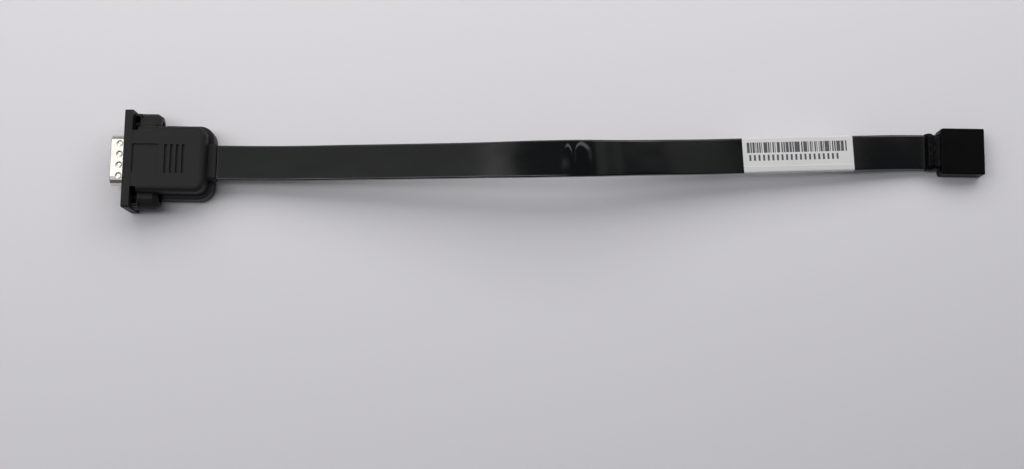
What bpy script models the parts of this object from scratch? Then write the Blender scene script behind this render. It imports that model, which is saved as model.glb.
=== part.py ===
"""Serial port cable: a nine-way plug in a moulded hood, a flat sleeved cable and a ten-way header socket.

Metres, +Z up. +X runs along the cable, from the plug's open end towards the header socket.
The hood and the header housing rest on Z = 0, and the plug is centred on Y = 0.
"""

import math

import bmesh
import bpy
from mathutils import Matrix, Vector
from mathutils.geometry import interpolate_bezier

mm = 0.001

# Whole object
overall_length = 302.4 * mm
header_centre_y = 8.1 * mm

# Fits between pieces
touch_gap = 0.3 * mm
sheet_gap = 0.2 * mm
slide_gap = 0.15 * mm
label_gap = 0.06 * mm

# Steel shells of the plug, measured inside the metal
shell_width = 16.92 * mm
shell_height = 8.36 * mm
shell_corner = 2.6 * mm
shell_side_slope = math.radians(10)
shell_sheet = 0.4 * mm
shell_reach = 5.9 * mm
shell_bend = 0.45 * mm
shell_rim_round = 0.22 * mm
plate_margin = 1.38 * mm
plate_flange = 0.95 * mm
plate_corner = 1.8 * mm
plate_sheet = 0.5 * mm
screw_from_shell = 4.035 * mm
screw_hole = 3.05 * mm
dimple_radius = 1.25 * mm
dimple_depth = 0.45 * mm
dimple_lift = 0.06 * mm
dimple_pitch = 3.75 * mm
dimple_from_plate = 2.8 * mm
rear_shell_side_step = 0.34 * mm
rear_shell_top_step = 0.72 * mm
rear_shell_depth = 4.2 * mm

# Insulators and contacts of the plug
pin_pitch = 2.77 * mm
pin_row_spacing = 2.84 * mm
pin_diameter = 1.02 * mm
pin_behind_rim = 0.9 * mm
pin_tip_length = 0.46 * mm
pin_nose_diameter = 0.56 * mm
pin_collar_diameter = 1.9 * mm
pin_collar_length = 0.8 * mm
pin_shank_diameter = 1.3 * mm
cup_diameter = 1.9 * mm
cup_bore = 1.2 * mm
cup_length = 3.2 * mm
cup_bore_depth = 2.6 * mm
cup_floor_cone = 0.2 * mm
cup_mouth_height = 0.24 * mm
cup_mouth_length = 1.56 * mm
pin_hole_gap = 0.15 * mm
insulator_stand = 0.2 * mm
front_insulator_length = 2.3 * mm
rear_insulator_length = 3.4 * mm

# Moulded hood
rim_recess = 0.9 * mm
rim_beside_plate = 1.35 * mm
rim_above_plate = 0.825 * mm
mould_plate_thickness = 2.8 * mm
mould_plate_corner = 0.8 * mm
mould_edge = 0.4 * mm
body_wall = 3.85 * mm
body_length = 26.8 * mm
body_rear_corner = 5.0 * mm
body_top_round = 1.8 * mm
body_lower_round = 1.5 * mm
parting_ledge = 1.5 * mm
parting_round = 0.35 * mm
parting_drop = 0.15 * mm
ear_radius = 4.4 * mm
ear_length = 8.9 * mm
ear_taper = 1.7 * mm
ear_tip_radius = 3.3 * mm
screw_bore = 3.4 * mm
nut_across = 5.2 * mm
nut_thickness = 1.7 * mm
nut_thread_bore = 2.4 * mm
nut_trap_wall = 0.3 * mm
nut_trap_side = 1.0 * mm
nut_trap_corner = 0.6 * mm
collar_step = 0.35 * mm
collar_height = 5.4 * mm
collar_length = 1.4 * mm
collar_round = 1.2 * mm
panel_length = 9.05 * mm
panel_width = 10.2 * mm
panel_depth = 0.7 * mm
panel_corner = 0.4 * mm
panel_from_plate = 0.3 * mm
grip_count = 4
grip_pitch = 2.0 * mm
grip_width = 1.0 * mm
grip_length = 10.0 * mm
grip_depth = 0.9 * mm
grip_corner = 0.28 * mm
grip_from_panel = 2.45 * mm

# Pre-mould round the solder cups
premould_length = 16.4 * mm
premould_corner = 0.8 * mm
cup_chamber_length = 5.0 * mm
fan_length = 6.5 * mm

# Flat cable
conductor_count = 9
conductor_pitch = 1.27 * mm
ribbon_thickness = 0.9 * mm
ribbon_groove = 0.2 * mm
sleeve_side_fit = 0.135 * mm
sleeve_wall = 0.25 * mm
sleeve_round = 0.85 * mm
wire_diameter = 0.9 * mm
strand_diameter = 0.65 * mm
label_start_x = 66.0 * mm
label_end_x = 105.4 * mm
label_sheet = 0.12 * mm
ribbon_lead = 0.6 * mm
cup_lead = 1.2 * mm
bare_lead = 0.5 * mm
strip_taper = 0.05 * mm
plug_straight = 12.0 * mm
header_straight = 14.0 * mm
route_steps = 3

# Middle line of the cable between the hood and the header, as X, Y, Z
route = [
    (-101.0 * mm, 0.0 * mm, 7.6 * mm),
    (-88.0 * mm, 0.0 * mm, 8.8 * mm),
    (-71.5 * mm, 0.1 * mm, 11.0 * mm),
    (-50.5 * mm, 0.1 * mm, 14.2 * mm),
    (-33.0 * mm, 0.1 * mm, 17.0 * mm),
    (-17.0 * mm, 0.2 * mm, 19.4 * mm),
    (-1.5 * mm, 0.4 * mm, 21.3 * mm),
    (10.5 * mm, 0.7 * mm, 21.6 * mm),
    (23.0 * mm, 1.5 * mm, 18.9 * mm),
    (38.5 * mm, 2.7 * mm, 14.9 * mm),
    (52.5 * mm, 3.6 * mm, 12.2 * mm),
    (67.0 * mm, 4.6 * mm, 10.1 * mm),
    (86.0 * mm, 5.8 * mm, 8.1 * mm),
    (106.0 * mm, 6.9 * mm, 6.2 * mm),
    (120.0 * mm, 7.7 * mm, 4.6 * mm),
]

# Header socket
header_side_wall = 1.97 * mm
header_top_wall = 0.98 * mm
header_edge = 0.35 * mm
header_rear_corner = 1.0 * mm
header_front_corner = 0.5 * mm
header_pitch = 2.54 * mm
header_columns = 5
cavity_size = 2.1 * mm
cavity_front_wall = 1.3 * mm
cavity_rear_depth = 1.8 * mm
pin_opening = 0.95 * mm
funnel_opening = 1.5 * mm
funnel_overlap = 0.1 * mm
funnel_depth = 0.5 * mm
contact_side_fit = 0.175 * mm
contact_sheet = 0.25 * mm
contact_corner = 0.2 * mm
contact_box_length = 7.2 * mm
contact_neck_length = 1.2 * mm
contact_neck_width = 0.9 * mm
contact_neck_lap = 0.8 * mm
crimp_length = 3.4 * mm
crimp_diameter = 1.65 * mm
wrap_length = 4.4 * mm
wrap_wall = 0.435 * mm
wrap_roll = 0.35 * mm
wrap_round = 1.4 * mm
wrap_edge = 0.6 * mm
wrap_band_length = 2.2 * mm
ribbon_in_wrap = 0.6 * mm

# Sizes that follow from the ones above
screw_spacing = shell_width + 2 * screw_from_shell
plate_width = screw_spacing + screw_hole + 2 * plate_margin
rear_shell_width = shell_width + 2 * rear_shell_side_step
rear_shell_height = shell_height + 2 * rear_shell_top_step
plate_height = rear_shell_height + 2 * (shell_sheet + plate_flange)
mould_plate_width = plate_width + 2 * (touch_gap + rim_beside_plate)
hood_height = plate_height + 2 * (touch_gap + rim_above_plate)
body_width = rear_shell_width + 2 * (touch_gap + body_wall)
cup_chamber_width = 4 * pin_pitch + cup_diameter + 2 * touch_gap
cup_chamber_height = pin_row_spacing + cup_diameter + 2 * touch_gap
ribbon_width = conductor_count * conductor_pitch
slot_width = ribbon_width + 2 * touch_gap
slot_height = ribbon_thickness + 2 * touch_gap
sleeve_width = ribbon_width + 2 * (sleeve_side_fit + sleeve_wall)
sleeve_thickness = ribbon_thickness + 2 * (touch_gap + sleeve_wall)
collar_width = sleeve_width + 2 * collar_step
header_span = (header_columns - 1) * header_pitch
header_width = header_span + cavity_size + 2 * header_side_wall
header_height = header_pitch + cavity_size + 2 * header_top_wall
contact_size = cavity_size - 2 * contact_side_fit
contact_length = contact_box_length + contact_neck_length + crimp_length
header_length = cavity_front_wall + touch_gap + contact_length + cavity_rear_depth
wrap_chamber_width = max(ribbon_width, header_span + wire_diameter) + 2 * touch_gap
wrap_chamber_height = header_pitch + wire_diameter + 2 * touch_gap
wrap_neck_width = wrap_chamber_width + 2 * wrap_wall
wrap_neck_height = wrap_chamber_height + 2 * wrap_wall
wrap_width = wrap_neck_width + 2 * wrap_roll
wrap_height = wrap_neck_height + 2 * wrap_roll

# Places that follow from the sizes
rim_x = -overall_length / 2
plate_front_x = rim_x + shell_reach
hood_front_x = plate_front_x - rim_recess
hood_plate_rear_x = hood_front_x + mould_plate_thickness
rear_plate_front_x = plate_front_x + plate_sheet + sheet_gap
rear_shell_end_x = rear_plate_front_x + rear_shell_depth
hood_seat_x = rear_plate_front_x + plate_sheet + sheet_gap
front_insulator_x = plate_front_x - insulator_stand
rear_insulator_x = front_insulator_x + front_insulator_length + sheet_gap
rear_insulator_end_x = rear_insulator_x + rear_insulator_length
premould_x = max(rear_shell_end_x, rear_insulator_end_x) + touch_gap
premould_end_x = premould_x + premould_length
body_rear_x = hood_plate_rear_x + body_length
collar_end_x = body_rear_x + collar_length
middle_z = hood_height / 2
screw_y = screw_spacing / 2
cup_mouth_x = rear_insulator_end_x + touch_gap + cup_length
plug_ribbon_end_x = cup_mouth_x + fan_length + touch_gap
sleeve_start_x = collar_end_x + touch_gap
header_front_x = overall_length / 2
header_rear_x = header_front_x - header_length
header_middle_z = header_height / 2
wrap_end_x = header_rear_x - touch_gap
wrap_start_x = wrap_end_x - wrap_length
sleeve_end_x = wrap_start_x - touch_gap
header_ribbon_end_x = wrap_start_x + ribbon_in_wrap
cavity_end_x = header_front_x - cavity_front_wall
contact_front_x = cavity_end_x - touch_gap
contact_box_rear_x = contact_front_x - contact_box_length
crimp_front_x = contact_box_rear_x - contact_neck_length
crimp_rear_x = contact_front_x - contact_length

facing_x = (math.pi / 2, 0.0, math.pi / 2)
facing_up = (0.0, 0.0, 0.0)


# Scene, materials and the tools that the pieces share
for leftover in list(bpy.data.objects):
    bpy.data.objects.remove(leftover)

parts = bpy.data.collections.new("serial_port_cable")
cutters = bpy.data.collections.new("cutters")
cutters.hide_render = True
bpy.context.scene.collection.children.link(parts)
bpy.context.scene.collection.children.link(cutters)


def material(name, colour, roughness, metallic=0.0):
    """A Principled material of one colour."""
    made = bpy.data.materials.new(name)
    made.use_nodes = True
    shader = made.node_tree.nodes["Principled BSDF"]
    shader.inputs["Base Color"].default_value = (*colour, 1.0)
    shader.inputs["Roughness"].default_value = roughness
    shader.inputs["Metallic"].default_value = metallic
    return made


hood_black = material("moulded_black", (0.025, 0.025, 0.027), 0.45)
shell_steel = material("nickel_plate", (0.66, 0.64, 0.60), 0.28, 1.0)
insulator_black = material("insulator_black", (0.02, 0.02, 0.022), 0.5)
pin_gold = material("pin_gold", (0.83, 0.62, 0.27), 0.25, 1.0)
nut_steel = material("blackened_nut", (0.08, 0.08, 0.085), 0.4, 1.0)
premould_milk = material("premould_milk", (0.72, 0.71, 0.66), 0.5)
sleeve_black = material("sleeve_black", (0.02, 0.021, 0.022), 0.3)
ribbon_grey = material("ribbon_grey", (0.30, 0.31, 0.33), 0.5)
wire_grey = material("wire_grey", (0.26, 0.27, 0.29), 0.5)
label_white = material("label_white", (0.62, 0.62, 0.60), 0.4)
header_black = material("header_black", (0.012, 0.012, 0.013), 0.5)
contact_tin = material("contact_tin", (0.62, 0.60, 0.56), 0.3, 1.0)


def add_piece(name, data, finish, place=(0, 0, 0), turn=facing_up):
    """One named sub-part in the object's collection."""
    piece = bpy.data.objects.new(name, data)
    piece.location = place
    piece.rotation_euler = turn
    if finish and not data.materials:
        data.materials.append(finish)
    parts.objects.link(piece)
    return piece


def add_helper(name, data, place=(0, 0, 0), turn=facing_up):
    """A cutter, or a shape that a Boolean joins to a sub-part."""
    helper = bpy.data.objects.new(name, data)
    helper.location = place
    helper.rotation_euler = turn
    helper.hide_render = True
    helper.display_type = "WIRE"
    cutters.objects.link(helper)
    return helper


def cut(piece, cutter):
    step = piece.modifiers.new("cut_" + cutter.name, "BOOLEAN")
    step.operation = "DIFFERENCE"
    step.object = cutter


def join(piece, other):
    step = piece.modifiers.new("join_" + other.name, "BOOLEAN")
    step.operation = "UNION"
    step.object = other


def evaluated_mesh(piece):
    """The mesh of an object with its modifiers, its loose caps welded."""
    graph = bpy.context.evaluated_depsgraph_get()
    mesh = bpy.data.meshes.new_from_object(piece.evaluated_get(graph))
    shape = bmesh.new()
    shape.from_mesh(mesh)
    bmesh.ops.remove_doubles(shape, verts=shape.verts, dist=0.001 * mm)
    shape.to_mesh(mesh)
    shape.free()
    return mesh


def bake(piece):
    """Keeps what the modifiers make, so that copies can share it."""
    piece.data = evaluated_mesh(piece)
    piece.modifiers.clear()


def rectangle(width, height, middle=(0.0, 0.0)):
    """Corners anticlockwise from the lower left."""
    x, y = middle
    return [
        (x - width / 2, y - height / 2),
        (x + width / 2, y - height / 2),
        (x + width / 2, y + height / 2),
        (x - width / 2, y + height / 2),
    ]


def rounded(corners, radii, steps=5):
    """An anticlockwise outline with an arc at each corner; a radius of 0 keeps the corner."""
    outline = []
    for index, corner in enumerate(corners):
        radius = radii[index] if isinstance(radii, (list, tuple)) else radii
        corner = Vector(corner)
        if radius == 0:
            outline.append(corner)
            continue
        before = (Vector(corners[index - 1]) - corner).normalized()
        after = (Vector(corners[(index + 1) % len(corners)]) - corner).normalized()
        half_angle = before.angle(after) / 2
        centre = corner + (before + after).normalized() * radius / math.sin(half_angle)
        start = corner + before * radius / math.tan(half_angle) - centre
        sweep = math.pi - 2 * half_angle
        for step in range(steps + 1):
            outline.append(centre + Matrix.Rotation(sweep * step / steps, 2) @ start)
    return outline


def circle(diameter, middle=(0.0, 0.0), steps=16):
    x, y = middle
    turns = [2 * math.pi * step / steps for step in range(steps)]
    return [(x + diameter / 2 * math.cos(a), y + diameter / 2 * math.sin(a)) for a in turns]


def d_outline(width, height, corner, grow=0.0, steps=4):
    """The plug's D, wide side up: its sides slope, and grow moves the whole outline outwards."""
    width += 2 * grow
    height += 2 * grow
    corner += grow
    top_tangent = corner / math.tan((math.pi / 2 - shell_side_slope) / 2)
    top = width / 2 - corner + top_tangent
    bottom = top - height * math.tan(shell_side_slope)
    low, high = middle_z - height / 2, middle_z + height / 2
    return rounded([(-bottom, low), (bottom, low), (top, high), (-top, high)], corner, steps)


def flat_curve(name, outlines, thickness):
    """A filled 2D curve, an outline inside another being a hole."""
    curve = bpy.data.curves.new(name, "CURVE")
    curve.dimensions = "2D"
    curve.fill_mode = "BOTH"
    curve.extrude = thickness / 2
    for outline in outlines:
        spline = curve.splines.new("POLY")
        spline.points.add(len(outline) - 1)
        for point, place in zip(spline.points, outline):
            point.co = (place[0], place[1], 0, 1)
        spline.use_cyclic_u = True
    return curve


def prism_mesh(name, outlines, start, end):
    """Outlines extruded along local Z from start to end, as a closed mesh with plain caps."""
    curve = flat_curve(name, outlines, end - start)
    holder = bpy.data.objects.new(name, curve)
    cutters.objects.link(holder)
    mesh = evaluated_mesh(holder)
    mesh.name = name
    mesh.transform(Matrix.Translation((0, 0, (start + end) / 2)))
    bpy.data.objects.remove(holder)
    bpy.data.curves.remove(curve)
    return mesh


def soften(mesh, chosen, radius, steps=3):
    """Rounds the edges that the test picks."""
    shape = bmesh.new()
    shape.from_mesh(mesh)
    bmesh.ops.dissolve_limit(
        shape, angle_limit=math.radians(0.1), verts=shape.verts, edges=shape.edges
    )
    edges = [edge for edge in shape.edges if chosen(edge)]
    bmesh.ops.bevel(
        shape,
        geom=edges,
        offset=radius,
        offset_type="OFFSET",
        segments=steps,
        profile=0.5,
        affect="EDGES",
        clamp_overlap=True,
    )
    shape.to_mesh(mesh)
    shape.free()


def at_level(level, tolerance=0.01 * mm):
    """A test for the edges that lie at one local height."""

    def chosen(edge):
        heights = [vertex.co.z for vertex in edge.verts]
        return all(abs(height - level) < tolerance for height in heights)

    return chosen


def smooth(piece, angle=35):
    """Smooth shading that stays sharp at the real edges."""
    piece.data.shade_smooth()
    piece.data.set_sharp_from_angle(angle=math.radians(angle))


def turned_mesh(name, profile, steps):
    """A profile of (radius, height) pairs, top to bottom on the outer side, turned round local Z."""
    mesh = bpy.data.meshes.new(name)
    points = [(radius, 0, height) for radius, height in profile]
    edges = [(index, index + 1) for index in range(len(points) - 1)]
    mesh.from_pydata(points, edges, [])
    holder = bpy.data.objects.new(name, mesh)
    cutters.objects.link(holder)
    screw = holder.modifiers.new("turn", "SCREW")
    screw.axis = "Z"
    screw.steps = steps
    screw.render_steps = steps
    screw.use_merge_vertices = True
    screw.merge_threshold = 0.001 * mm
    made = evaluated_mesh(holder)
    made.name = name
    bpy.data.objects.remove(holder)
    return made


def swept(name, points, profile, finish, capped=True):
    """A profile outline carried along points, upright all the way."""
    outline = list(reversed(profile))
    guide = add_helper(name + "_profile", flat_curve(name + "_profile", [outline], 0))
    guide.data.fill_mode = "NONE"
    curve = bpy.data.curves.new(name, "CURVE")
    curve.dimensions = "3D"
    curve.twist_mode = "Z_UP"
    curve.bevel_mode = "OBJECT"
    curve.bevel_object = guide
    curve.use_fill_caps = capped
    spline = curve.splines.new("POLY")
    spline.points.add(len(points) - 1)
    for point, place in zip(spline.points, points):
        point.co = (*place, 1)
    return add_piece(name, curve, finish)


def wire(name, points, bare_from, finish):
    """An insulated wire along points, stripped to its strands from one of them on."""
    curve = bpy.data.curves.new(name, "CURVE")
    curve.dimensions = "3D"
    curve.bevel_depth = wire_diameter / 2
    curve.bevel_resolution = 2
    curve.use_fill_caps = True
    strip = Vector(points[bare_from])
    step = (Vector(points[bare_from + 1]) - strip).normalized() * strip_taper
    stops = [(Vector(place), 1.0) for place in points[: bare_from + 1]]
    thin = strand_diameter / wire_diameter
    stops.append((strip + step, thin))
    stops += [(Vector(place), thin) for place in points[bare_from + 1 :]]
    spline = curve.splines.new("POLY")
    spline.points.add(len(stops) - 1)
    for point, (place, radius) in zip(spline.points, stops):
        point.co = (*place, 1)
        point.radius = radius
    return add_piece(name, curve, finish)


# Contacts of the plug: one to five along the wide row, six to nine below them
def pin_places():
    places = []
    for index in range(5):
        places.append(((2 - index) * pin_pitch, middle_z + pin_row_spacing / 2))
    for index in range(4):
        places.append(((1.5 - index) * pin_pitch, middle_z - pin_row_spacing / 2))
    return places


def pin_mesh():
    """A turned pin, its tip at local Z = 0 and its solder cup below."""
    radius = pin_diameter / 2
    collar_top = -(rear_insulator_x + slide_gap - (rim_x + pin_behind_rim))
    collar_bottom = collar_top - pin_collar_length
    shank_bottom = -(rear_insulator_end_x + touch_gap - (rim_x + pin_behind_rim))
    cup_bottom = shank_bottom - cup_length
    profile = [
        (0, 0),
        (pin_nose_diameter / 2, -pin_tip_length / 5),
        (radius, -pin_tip_length),
        (radius, collar_top),
        (pin_collar_diameter / 2, collar_top),
        (pin_collar_diameter / 2, collar_bottom),
        (pin_shank_diameter / 2, collar_bottom),
        (pin_shank_diameter / 2, shank_bottom),
        (cup_diameter / 2, shank_bottom),
        (cup_diameter / 2, cup_bottom),
        (cup_bore / 2, cup_bottom),
        (cup_bore / 2, cup_bottom + cup_bore_depth),
        (0, cup_bottom + cup_bore_depth + cup_floor_cone),
    ]
    mesh = turned_mesh("contact_pin", profile, 10)
    # The cup is open on its upper side, where the strands are laid in.
    piece = add_helper("pin_form", mesh)
    mouth = rectangle(cup_diameter * 2, cup_diameter, (0, cup_diameter / 2 + cup_mouth_height))
    scoop = add_helper(
        "cup_scoop",
        prism_mesh("cup_scoop", [mouth], cup_bottom - mm, cup_bottom + cup_mouth_length),
    )
    cut(piece, scoop)
    bake(piece)
    return piece.data


def build_contacts():
    mesh = pin_mesh()
    mesh.materials.append(pin_gold)
    for number, (y, z) in enumerate(pin_places(), 1):
        place = (rim_x + pin_behind_rim, y, z)
        pin = add_piece(f"contact_pin_{number}", mesh, None, place, (0, -math.pi / 2, 0))
        smooth(pin)


def insulator(name, outline, start, end, pin_size):
    """A D-shaped block on the pins, with a round hole for each."""
    block = prism_mesh(name, [outline], start, end)
    made = add_piece(name, block, insulator_black, turn=facing_x)
    holes = [circle(pin_size + 2 * pin_hole_gap, place, 10) for place in pin_places()]
    mesh = prism_mesh(name + "_holes", holes, start - mm, end + mm)
    cut(made, add_helper(name + "_holes", mesh, turn=facing_x))
    return made


def build_insulators():
    d_front = d_outline(shell_width, shell_height, shell_corner, -touch_gap)
    front_end_x = front_insulator_x + front_insulator_length
    bake(insulator("front_insulator", d_front, front_insulator_x, front_end_x, pin_diameter))
    d_rear = d_outline(rear_shell_width, rear_shell_height, shell_corner, -touch_gap)
    rear = insulator(
        "rear_insulator", d_rear, rear_insulator_x, rear_insulator_end_x, pin_shank_diameter
    )
    seats = bmesh.new()
    depth = slide_gap + pin_collar_length + slide_gap
    for y, z in pin_places():
        turn = Matrix.Translation((rear_insulator_x, y, z)) @ Matrix.Rotation(math.pi / 2, 4, "Y")
        bmesh.ops.create_cone(
            seats,
            cap_ends=True,
            segments=10,
            radius1=pin_collar_diameter / 2 + pin_hole_gap,
            radius2=pin_collar_diameter / 2 + pin_hole_gap,
            depth=2 * depth,
            matrix=turn,
        )
    mesh = bpy.data.meshes.new("collar_seats")
    seats.to_mesh(mesh)
    seats.free()
    cut(rear, add_helper("collar_seats", mesh))
    bake(rear)


def dimple_places():
    """Y places of the dimples: four along the wide side, three along the narrow one."""
    wide = [(index - 1.5) * dimple_pitch for index in range(4)]
    narrow = [(index - 1) * dimple_pitch for index in range(3)]
    return wide, narrow


def dimples(name, level, half_depth):
    """Flattened balls on the top and bottom walls of the D, at a level outside their inner faces."""
    shape = bmesh.new()
    wide, narrow = dimple_places()
    x = plate_front_x - dimple_from_plate
    high = middle_z + shell_height / 2 + level
    low = middle_z - shell_height / 2 - level
    for y, z in [(y, high) for y in wide] + [(y, low) for y in narrow]:
        flat = Matrix.Diagonal((dimple_radius, dimple_radius, half_depth, 1))
        bmesh.ops.create_uvsphere(
            shape,
            u_segments=10,
            v_segments=6,
            radius=1,
            matrix=Matrix.Translation((x, y, z)) @ flat,
        )
    mesh = bpy.data.meshes.new(name)
    shape.to_mesh(mesh)
    shape.free()
    return add_helper(name, mesh)


def screw_holes(name, diameter, start, end):
    """A pair of round cutters on the screw lines."""
    lines = [(-screw_y, middle_z), (screw_y, middle_z)]
    mesh = prism_mesh(name, [circle(diameter, line, 20) for line in lines], start, end)
    return add_helper(name, mesh, turn=facing_x)


def build_front_shell():
    """Steel plate with the open D drawn forward from it, and dimples pressed in."""
    plate = rounded(rectangle(plate_width, plate_height, (0, middle_z)), plate_corner, 4)
    plate_rear = plate_front_x + plate_sheet
    shell = add_piece(
        "front_shell",
        prism_mesh("front_shell", [plate], plate_front_x, plate_rear),
        shell_steel,
        turn=facing_x,
    )
    outer = d_outline(shell_width, shell_height, shell_corner, shell_sheet)
    drawn = prism_mesh("drawn_d", [outer], rim_x, plate_front_x + plate_sheet / 2)
    soften(drawn, at_level(rim_x), shell_rim_round, 2)
    join(shell, add_helper("drawn_d", drawn, turn=facing_x))
    bake(shell)

    def at_bend(edge):
        outside = plate_height / 2
        ends = [vertex.co for vertex in edge.verts]
        level = all(abs(end.z - plate_front_x) < 0.01 * mm for end in ends)
        inside = all(
            abs(end.x) < shell_width / 2 + mm and abs(end.y - middle_z) < outside - mm
            for end in ends
        )
        return level and inside and edge.calc_face_angle(0) > 1

    soften(shell.data, at_bend, shell_bend, 2)
    # The bore is cut before the dimples' backs are joined, so that they stand into it.
    inner = d_outline(shell_width, shell_height, shell_corner)
    bore = prism_mesh("d_bore", [inner], rim_x - mm, plate_rear + mm)
    cut(shell, add_helper("d_bore", bore, turn=facing_x))
    join(shell, dimples("dimple_backs", dimple_lift, dimple_depth))
    cut(shell, dimples("dimple_fronts", shell_sheet + dimple_lift, dimple_depth))
    cut(shell, screw_holes("plate_holes", screw_hole, plate_front_x - mm, plate_rear + mm))
    bake(shell)
    smooth(shell)


def build_rear_shell():
    """Second steel plate, its D drawn backwards round the rear insulator."""
    plate = rounded(rectangle(plate_width, plate_height, (0, middle_z)), plate_corner, 4)
    plate_rear = rear_plate_front_x + plate_sheet
    shell = add_piece(
        "rear_shell",
        prism_mesh("rear_shell", [plate], rear_plate_front_x, plate_rear),
        shell_steel,
        turn=facing_x,
    )
    outer = d_outline(rear_shell_width, rear_shell_height, shell_corner, shell_sheet)
    inner = d_outline(rear_shell_width, rear_shell_height, shell_corner)
    drawn = prism_mesh("rear_d", [outer], rear_plate_front_x + plate_sheet / 2, rear_shell_end_x)
    bore = prism_mesh("rear_bore", [inner], rear_plate_front_x - mm, rear_shell_end_x + mm)
    join(shell, add_helper("rear_d", drawn, turn=facing_x))
    cut(shell, add_helper("rear_bore", bore, turn=facing_x))
    cut(shell, screw_holes("rear_plate_holes", screw_hole, rear_plate_front_x - mm, plate_rear + mm))
    bake(shell)
    smooth(shell)


# Moulded hood: plate, two-level body, screw ears with nut traps, cable collar
def body_outline(inset):
    half = body_width / 2 - inset
    front = hood_plate_rear_x - mould_plate_thickness / 2
    rear = body_rear_x - inset
    corners = [(front, -half), (rear, -half), (rear, half), (front, half)]
    corner = body_rear_corner - inset
    return rounded(corners, [0, corner, corner, 0], 6)


def build_hood():
    parting_z = middle_z - parting_drop
    lower = prism_mesh("moulded_hood", [body_outline(0)], 0, parting_z)
    soften(lower, at_level(0), body_lower_round, 3)
    soften(lower, at_level(parting_z), parting_round, 2)
    hood = add_piece("moulded_hood", lower, hood_black)

    upper = prism_mesh("upper_body", [body_outline(parting_ledge)], middle_z / 2, hood_height)
    soften(upper, at_level(hood_height), body_top_round, 4)
    join(hood, add_helper("upper_body", upper))

    plate = rounded(
        rectangle(mould_plate_width, hood_height, (0, middle_z)), mould_plate_corner, 4
    )
    plate_mesh = prism_mesh("mould_plate", [plate], hood_front_x, hood_plate_rear_x)
    soften(plate_mesh, at_level(hood_front_x), mould_edge, 2)
    join(hood, add_helper("mould_plate", plate_mesh, turn=facing_x))

    ear_front = hood_plate_rear_x - mould_plate_thickness / 2
    ear_profile = [
        (0, 0),
        (ear_tip_radius, 0),
        (ear_radius, -ear_taper),
        (ear_radius, -ear_length - mould_plate_thickness / 2),
        (0, -ear_length - mould_plate_thickness / 2),
    ]
    ear_mesh = turned_mesh("ear", ear_profile, 24)
    ear_rear_x = hood_plate_rear_x + ear_length
    trap_depth = nut_thickness + 2 * slide_gap
    trap_end_x = hood_plate_rear_x + trap_depth
    half_nut = nut_across / 2 + slide_gap
    half_trap = half_nut + nut_trap_side
    for side in (-1, 1):
        word = "left" if side < 0 else "right"
        ear = add_helper(f"{word}_ear", ear_mesh, (ear_rear_x, side * screw_y, middle_z))
        ear.rotation_euler = (0, math.pi / 2, 0)
        join(hood, ear)
        frame = rectangle(2 * half_trap, 2 * ear_radius, (side * screw_y, middle_z))
        block = prism_mesh(
            f"{word}_trap_block",
            [rounded(frame, nut_trap_corner, 2)],
            ear_front,
            trap_end_x + nut_trap_wall,
        )
        join(hood, add_helper(f"{word}_trap_block", block, turn=facing_x))
    collar = prism_mesh(
        "collar",
        [rounded(rectangle(collar_width, collar_height, (0, middle_z)), collar_round, 4)],
        body_rear_x - body_rear_corner,
        collar_end_x,
    )
    soften(collar, at_level(collar_end_x), mould_edge, 2)
    join(hood, add_helper("collar", collar, turn=facing_x))

    # Seats for the plug, the pre-mould and the flat cable
    seat = rounded(
        rectangle(
            plate_width + 2 * touch_gap, plate_height + 2 * touch_gap, (0, middle_z)
        ),
        plate_corner,
        4,
    )
    seats = [("plate_seat", seat, hood_front_x - mm, hood_seat_x)]
    d_seat = d_outline(
        rear_shell_width, rear_shell_height, shell_corner, shell_sheet + touch_gap
    )
    seats.append(("d_seat", d_seat, hood_seat_x - mm, premould_x))
    block_seat = rectangle(
        rear_shell_width + 2 * touch_gap, rear_shell_height + 2 * touch_gap, (0, middle_z)
    )
    seats.append(
        ("premould_seat", block_seat, premould_x - sheet_gap, premould_end_x + touch_gap)
    )
    ribbon_slot = rectangle(slot_width, slot_height, (0, middle_z))
    seats.append(("ribbon_slot", ribbon_slot, premould_end_x - mm, collar_end_x + mm))
    for name, outline, start, end in seats:
        cut(hood, add_helper(name, prism_mesh(name, [outline], start, end), turn=facing_x))

    cut(hood, screw_holes("screw_bores", screw_bore, hood_front_x, ear_rear_x + mm))
    shoulder_z = middle_z - half_nut * math.tan(math.pi / 6)
    point_z = middle_z - half_nut / math.cos(math.pi / 6)
    for side in (-1, 1):
        word = "left" if side < 0 else "right"
        slot = [
            (side * screw_y - half_nut, hood_height + mm),
            (side * screw_y - half_nut, shoulder_z),
            (side * screw_y, point_z),
            (side * screw_y + half_nut, shoulder_z),
            (side * screw_y + half_nut, hood_height + mm),
        ]
        name = f"{word}_nut_slot"
        mesh = prism_mesh(name, [slot], hood_plate_rear_x, trap_end_x)
        cut(hood, add_helper(name, mesh, turn=facing_x))

    # Shallow panel and grip grooves, the same above and below
    panel_middle_x = hood_plate_rear_x + panel_from_plate + panel_length / 2
    grips_x = panel_middle_x + panel_length / 2 + grip_from_panel
    for word, floor, depth in (
        ("top", hood_height, -1),
        ("bottom", 0, 1),
    ):
        sunk = rounded(
            rectangle(panel_length, panel_width, (panel_middle_x, 0)), panel_corner, 2
        )
        ends = sorted((floor + depth * panel_depth, floor - depth * mm))
        name = f"{word}_panel"
        cut(hood, add_helper(name, prism_mesh(name, [sunk], *ends)))
        grips = [
            rounded(
                rectangle(grip_width, grip_length, (grips_x + index * grip_pitch, 0)),
                grip_corner,
                2,
            )
            for index in range(grip_count)
        ]
        ends = sorted((floor + depth * grip_depth, floor - depth * mm))
        name = f"{word}_grips"
        cut(hood, add_helper(name, prism_mesh(name, grips, *ends)))
    bake(hood)
    smooth(hood)


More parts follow.
